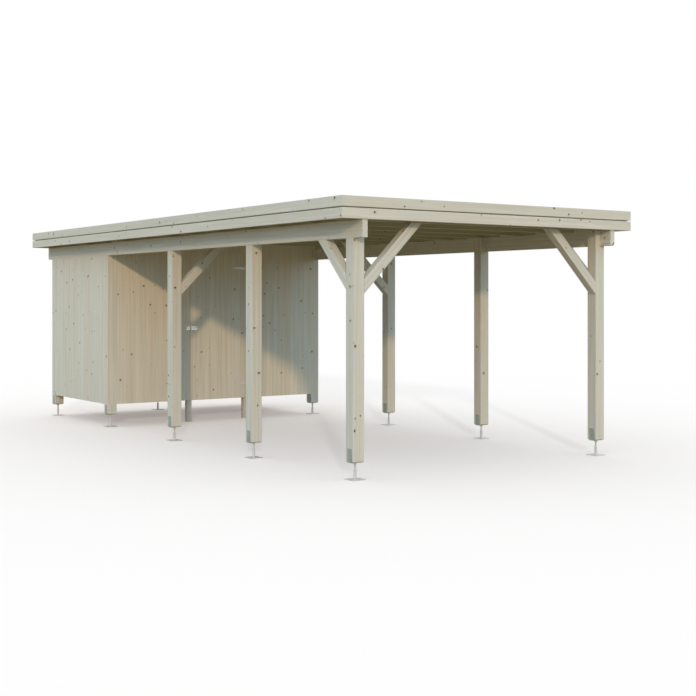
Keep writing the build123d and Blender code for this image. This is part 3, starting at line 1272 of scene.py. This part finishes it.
@dataclass
class PostFeet:
    """Adjustable feet: a bright threaded stem on its plate, and a bracket on the post whose strips are
    darkened as a painted reflection of dark surroundings. Metres.
    """

    nodes: tuple[str, ...] = ("left_post_feet", "right_post_feet", "back_middle_foot")
    bracket_level: float = 153 * MM
    post_side: float = 120 * MM
    screw_levels: tuple[float, float] = (195 * MM, 250 * MM)
    thread_low: float = 90 * MM
    thread_high: float = 139 * MM
    thread_radius: float = 9 * MM
    thread_pitch: float = 3.5 * MM   # drawn wider than the real 2 mm to show
    thread_depth: float = 0.9 * MM
    thread_steps: int = 12
    thread_sides: int = 4

    def build(self) -> None:
        """Finish every foot in bright zinc and in zinc darkened as a painted reflection, and add its thread
        and screws.
        """
        axes = []
        for node in self.nodes:
            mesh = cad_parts[node].data.copy()
            mesh.materials.clear()
            # Faces above the bracket level take the zinc darkened as a painted reflection.
            for finish in (BRIGHT_ZINC, DARK_REFLECTION_ZINC):
                mesh.materials.append(finish.material())
            for face in mesh.polygons:
                face.material_index = int(face.center.z > self.bracket_level)
            place_piece(f"{node}_dressed", mesh, Body.CARPORT, Slot.STEEL, (node,))
            axes += [(low + high) / 2 for low, high in solid_boxes(node)]
        self.cut_threads(axes)
        half = AXIS_X * (self.post_side / 2)
        screws = []
        for axis in axes:
            for level in self.screw_levels:
                middle = Vector((axis.x, axis.y, level))
                screws += [(middle - half, -AXIS_X), (middle + half, AXIS_X)]
        FOOT_SCREW.drive("foot_screws", screws, Body.CARPORT)

    def cut_threads(self, axes: Sequence[Vector]) -> None:
        """Wind a thread round every stem.

        Args:
            axes: a point on each stem's axis.
        """
        tree, inputs, output = new_growth("stem_thread", (
            ("Radius", NUMBER), ("Turns", NUMBER), ("Height", NUMBER), ("Depth", NUMBER),
            ("Material", SURFACE),
        ))
        spiral = add_node(
            tree, "GeometryNodeCurveSpiral",
            inputs={
                "Resolution": self.thread_steps, "Rotations": inputs["Turns"], "Height": inputs["Height"],
                "Start Radius": inputs["Radius"], "End Radius": inputs["Radius"],
            },
        )
        section = add_node(
            tree, "GeometryNodeCurvePrimitiveCircle",
            inputs={"Resolution": self.thread_sides, "Radius": inputs["Depth"]},
        )
        ridge = add_node(
            tree, "GeometryNodeCurveToMesh",
            inputs={"Curve": spiral.outputs[0], "Profile Curve": section.outputs[0], "Fill Caps": True},
        )
        placed = add_node(
            tree, "GeometryNodeInstanceOnPoints",
            inputs={"Points": inputs["Geometry"], "Instance": ridge.outputs[0]},
        )
        end_growth(tree, placed.outputs[0], inputs, output)
        points = bpy.data.meshes.new("points")
        points.from_pydata([(axis.x, axis.y, self.thread_low) for axis in axes], [], [])
        height = self.thread_high - self.thread_low
        mesh = grow(tree, {
            "Radius": self.thread_radius, "Turns": height / self.thread_pitch, "Height": height,
            "Depth": self.thread_depth, "Material": BRIGHT_ZINC.material(),
        }, points)
        place_piece("stem_threads", mesh, Body.CARPORT, Slot.STEEL)


@dataclass
class DoorFittings:
    """Hook and band hinges and the slide bolt, with their screws. Metres."""

    hinge_nodes: tuple[str, ...] = ("hinge_bands", "hinge_hooks")
    bolt_nodes: tuple[str, ...] = ("bolt_barrel", "bolt_rod", "bolt_keep")
    band_thickness: float = 4 * MM
    band_bolts: tuple[float, ...] = (16 * MM, 80 * MM, 144 * MM)
    hook_plate: Vector = field(default_factory=lambda: Vector((60, 4, 90)) * MM)
    hook_inset: tuple[float, float] = (15 * MM, 15 * MM)
    bolt_plate: float = 3 * MM
    bolt_inset: tuple[float, float] = (8 * MM, 5 * MM)

    def build(self) -> None:
        """Finish the fittings and drive their screws and bolts."""
        for nodes, finish in ((self.hinge_nodes, BRIGHT_ZINC), (self.bolt_nodes, POLISHED_ZINC)):
            for node in nodes:
                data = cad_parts[node].data
                data.materials.clear()
                data.materials.append(finish.material())
                log.info("%s: %s", node, finish.name)
        bolts = []
        for low, high in solid_boxes("hinge_bands"):
            spot = Vector((low.x, high.y - self.band_thickness, (low.z + high.z) / 2))
            bolts += [(spot + AXIS_X * along, -AXIS_Y) for along in self.band_bolts]
        COACH_BOLT.drive("band_bolts", bolts, Body.DOOR)
        screws = []
        for low, high in solid_boxes("hinge_hooks"):
            corner = Vector((high.x - self.hook_plate.x, low.y, low.z))
            far = Vector((high.x, high.y, low.z + self.hook_plate.z))
            screws += self.plate_screws(corner, far, self.hook_plate.y, self.hook_inset)
        screws += self.plate_screws(*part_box("bolt_keep"), self.bolt_plate, self.bolt_inset)
        PLATE_SCREW.drive("wall_plate_screws", screws, Body.CARPORT)
        screws = self.plate_screws(*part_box("bolt_barrel"), self.bolt_plate, self.bolt_inset)
        PLATE_SCREW.drive("bolt_plate_screws", screws, Body.DOOR)

    def plate_screws(
        self, low: Vector, high: Vector, thickness: float, inset: tuple[float, float]
    ) -> list[tuple[Vector, Vector]]:
        """Place a screw near each corner of an upright plate that faces the front.

        Args:
            low: lowest corner of the fitting.
            high: its highest corner, on the face that the plate lies against.
            thickness: thickness of the plate.
            inset: screws from the plate's sides, and from its top and bottom.

        Returns:
            The screws' places with the way they face.
        """
        across, upright = inset
        return [
            (Vector((x, high.y - thickness, z)), -AXIS_Y)
            for x in (low.x + across, high.x - across)
            for z in (low.z + upright, high.z - upright)
        ]


@dataclass
class Studio:
    """Pale floor, soft light and the camera. Metres and degrees.

    The camera stands level, its picture shifted down, so that uprights stay upright. The floor has
    a sun of its own, of the sky's colour, so that shadows on it are neutral grey. The soft fill comes
    from behind the object and throws no shadow. No lamp glints on metal or felt.
    """

    frame_px: float = 696.0
    focal_px: float = 1213.3
    horizon_px: float = 297.95
    sensor_mm: float = 36.0
    camera_place: tuple[float, float, float] = (-7.689, -12.542, 1.6255)
    heading: float = 34.35
    sun_heading: float = 30.0
    sun_height: float = 15.6
    sun_power: float = 1.27
    sun_spread: float = 2.5
    sun_colour: str = "#ffd2a3"
    fill_heading: float = 208.0
    fill_height: float = 20.0
    fill_power: float = 1.1
    sky_colour: str = "#d8eeff"
    sky_power: float = 1.27
    floor_size: float = 400.0
    floor_share: float = 0.75    # part of the floor's white that the lights give, and shadow takes away
    floor_bounce: str = "#967e60"

    def build(self) -> None:
        """Set up floor, lights and camera."""
        self.set_camera()
        self.set_sky()
        floor = self.lay_floor()
        low = (self.sun_heading, self.sun_height, self.sun_power)
        for name, colour, choice in (
            ("sun", self.sun_colour, FloorLight.LEFT_OUT), ("floor_sun", self.sky_colour, FloorLight.ALONE),
        ):
            sun = self.hang_sun(name, *low, colour)
            sun.data.angle = math.radians(self.sun_spread)
            self.link_floor(sun, floor, choice)
        fill = self.hang_sun("fill", self.fill_heading, self.fill_height, self.fill_power, self.sun_colour)
        fill.data.use_shadow = False
        self.link_floor(fill, floor, FloorLight.LEFT_OUT)

    def set_camera(self) -> None:
        """Stand the camera where the photograph was taken from."""
        data = bpy.data.cameras.new("camera")
        data.sensor_width = self.sensor_mm
        data.lens = self.sensor_mm * self.focal_px / self.frame_px
        data.shift_y = (self.horizon_px - self.frame_px / 2) / self.frame_px
        data.clip_end = self.floor_size
        camera = bpy.data.objects.new("camera", data)
        camera.location = self.camera_place
        camera.rotation_euler = (math.radians(RIGHT_ANGLE), 0.0, -math.radians(self.heading))
        bpy.context.scene.collection.objects.link(camera)
        bpy.context.scene.camera = camera

    def hang_sun(self, name: str, heading: float, height: float, power: float, colour: str) -> Object:
        """Hang a lamp whose light comes from far off.

        Args:
            name: the lamp's name.
            heading: the way its light goes, clockwise from the back.
            height: its height over the horizon.
            power: its power.
            colour: its colour.

        Returns:
            The lamp.
        """
        data = bpy.data.lights.new(name, "SUN")
        data.energy = power
        data.color = linear(colour)[:3]
        lamp = bpy.data.objects.new(name, data)
        lamp.rotation_euler = (math.radians(RIGHT_ANGLE - height), 0.0, -math.radians(heading))
        lamp.visible_glossy = False
        bpy.context.scene.collection.objects.link(lamp)
        return lamp

    def link_floor(self, lamp: Object, floor: Object, choice: FloorLight) -> None:
        """Let a lamp leave the floor out, or light nothing else.

        Args:
            lamp: the lamp.
            floor: the floor.
            choice: what the lamp does with the floor.
        """
        receivers = bpy.data.collections.new(f"{lamp.name}_and_floor")
        receivers.objects.link(floor)
        receivers.collection_objects[0].light_linking.link_state = choice.value
        lamp.light_linking.receiver_collection = receivers

    def show(self, tree: NodeTree, output: Node, seen: Node, lighting: Node) -> None:
        """Show one shader to the eye, also by way of metal and glass, and light by another.

        Args:
            tree: the tree that holds both.
            output: the tree's output node.
            seen: the shader that is shown.
            lighting: the shader that lights the object.
        """
        path = add_node(tree, "ShaderNodeLightPath").outputs
        direct = path["Is Camera Ray"]
        for other in ("Is Glossy Ray", "Is Transmission Ray"):
            either = add_node(
                tree, "ShaderNodeMath", {"operation": "MAXIMUM"}, {0: direct, 1: path[other]},
            )
            direct = either.outputs[0]
        mix = add_node(
            tree, "ShaderNodeMixShader", inputs={0: direct, 1: lighting.outputs[0], 2: seen.outputs[0]},
        )
        tree.links.new(mix.outputs[0], output.inputs["Surface"])

    def set_sky(self) -> None:
        """Light evenly from all round, with white where the sky itself shows."""
        world = bpy.data.worlds.new("sky")
        world.use_nodes = True
        bpy.context.scene.world = world
        tree = world.node_tree
        tree.nodes.clear()
        light = add_node(
            tree, "ShaderNodeBackground",
            inputs={"Color": linear(self.sky_colour), "Strength": self.sky_power},
        )
        white = add_node(tree, "ShaderNodeBackground", inputs={"Color": (1, 1, 1, 1), "Strength": 1.0})
        self.show(tree, add_node(tree, "ShaderNodeOutputWorld"), white, light)

    def lay_floor(self) -> Object:
        """Lay a floor that shows white with the object's shadow, and throws little light back.

        Returns:
            The floor.
        """
        material, tree, output = new_surface("pale_studio_floor")
        light = self.sky_power + self.sun_power * math.sin(math.radians(self.sun_height)) / math.pi
        pale = [self.floor_share / (part * light) for part in linear(self.sky_colour)[:3]]
        shown = add_node(tree, "ShaderNodeBsdfDiffuse", inputs={"Color": (*pale, 1.0)})
        glow = add_node(tree, "ShaderNodeEmission", inputs={"Strength": 1.0 - self.floor_share})
        bright = add_node(tree, "ShaderNodeAddShader", inputs={0: shown.outputs[0], 1: glow.outputs[0]})
        bounce = add_node(tree, "ShaderNodeBsdfDiffuse", inputs={"Color": linear(self.floor_bounce)})
        self.show(tree, output, bright, bounce)
        work = bmesh.new()
        bmesh.ops.create_grid(work, x_segments=1, y_segments=1, size=self.floor_size / 2)
        floor = bpy.data.objects.new("floor", baked(work, "floor", material))
        bpy.context.scene.collection.objects.link(floor)
        floor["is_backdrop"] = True
        return floor


def main() -> None:
    """Build the carport's looks in order."""
    logging.basicConfig(level=logging.INFO, format="%(name)s: %(message)s")
    bpy.context.scene.view_settings.view_transform = "Standard"
    for part in (Studio(), TimberFrame(), Roof(), StoreRoom(), Door(), PostFeet(), DoorFittings()):
        log.info("building %s", type(part).__name__)
        part.build()
    boxes = {"cad": CAD_BOUNDS, "visual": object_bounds()}
    {name: [list(corner) for corner in box] for name, box in boxes.items()}


if __name__ == "__main__":
    main()
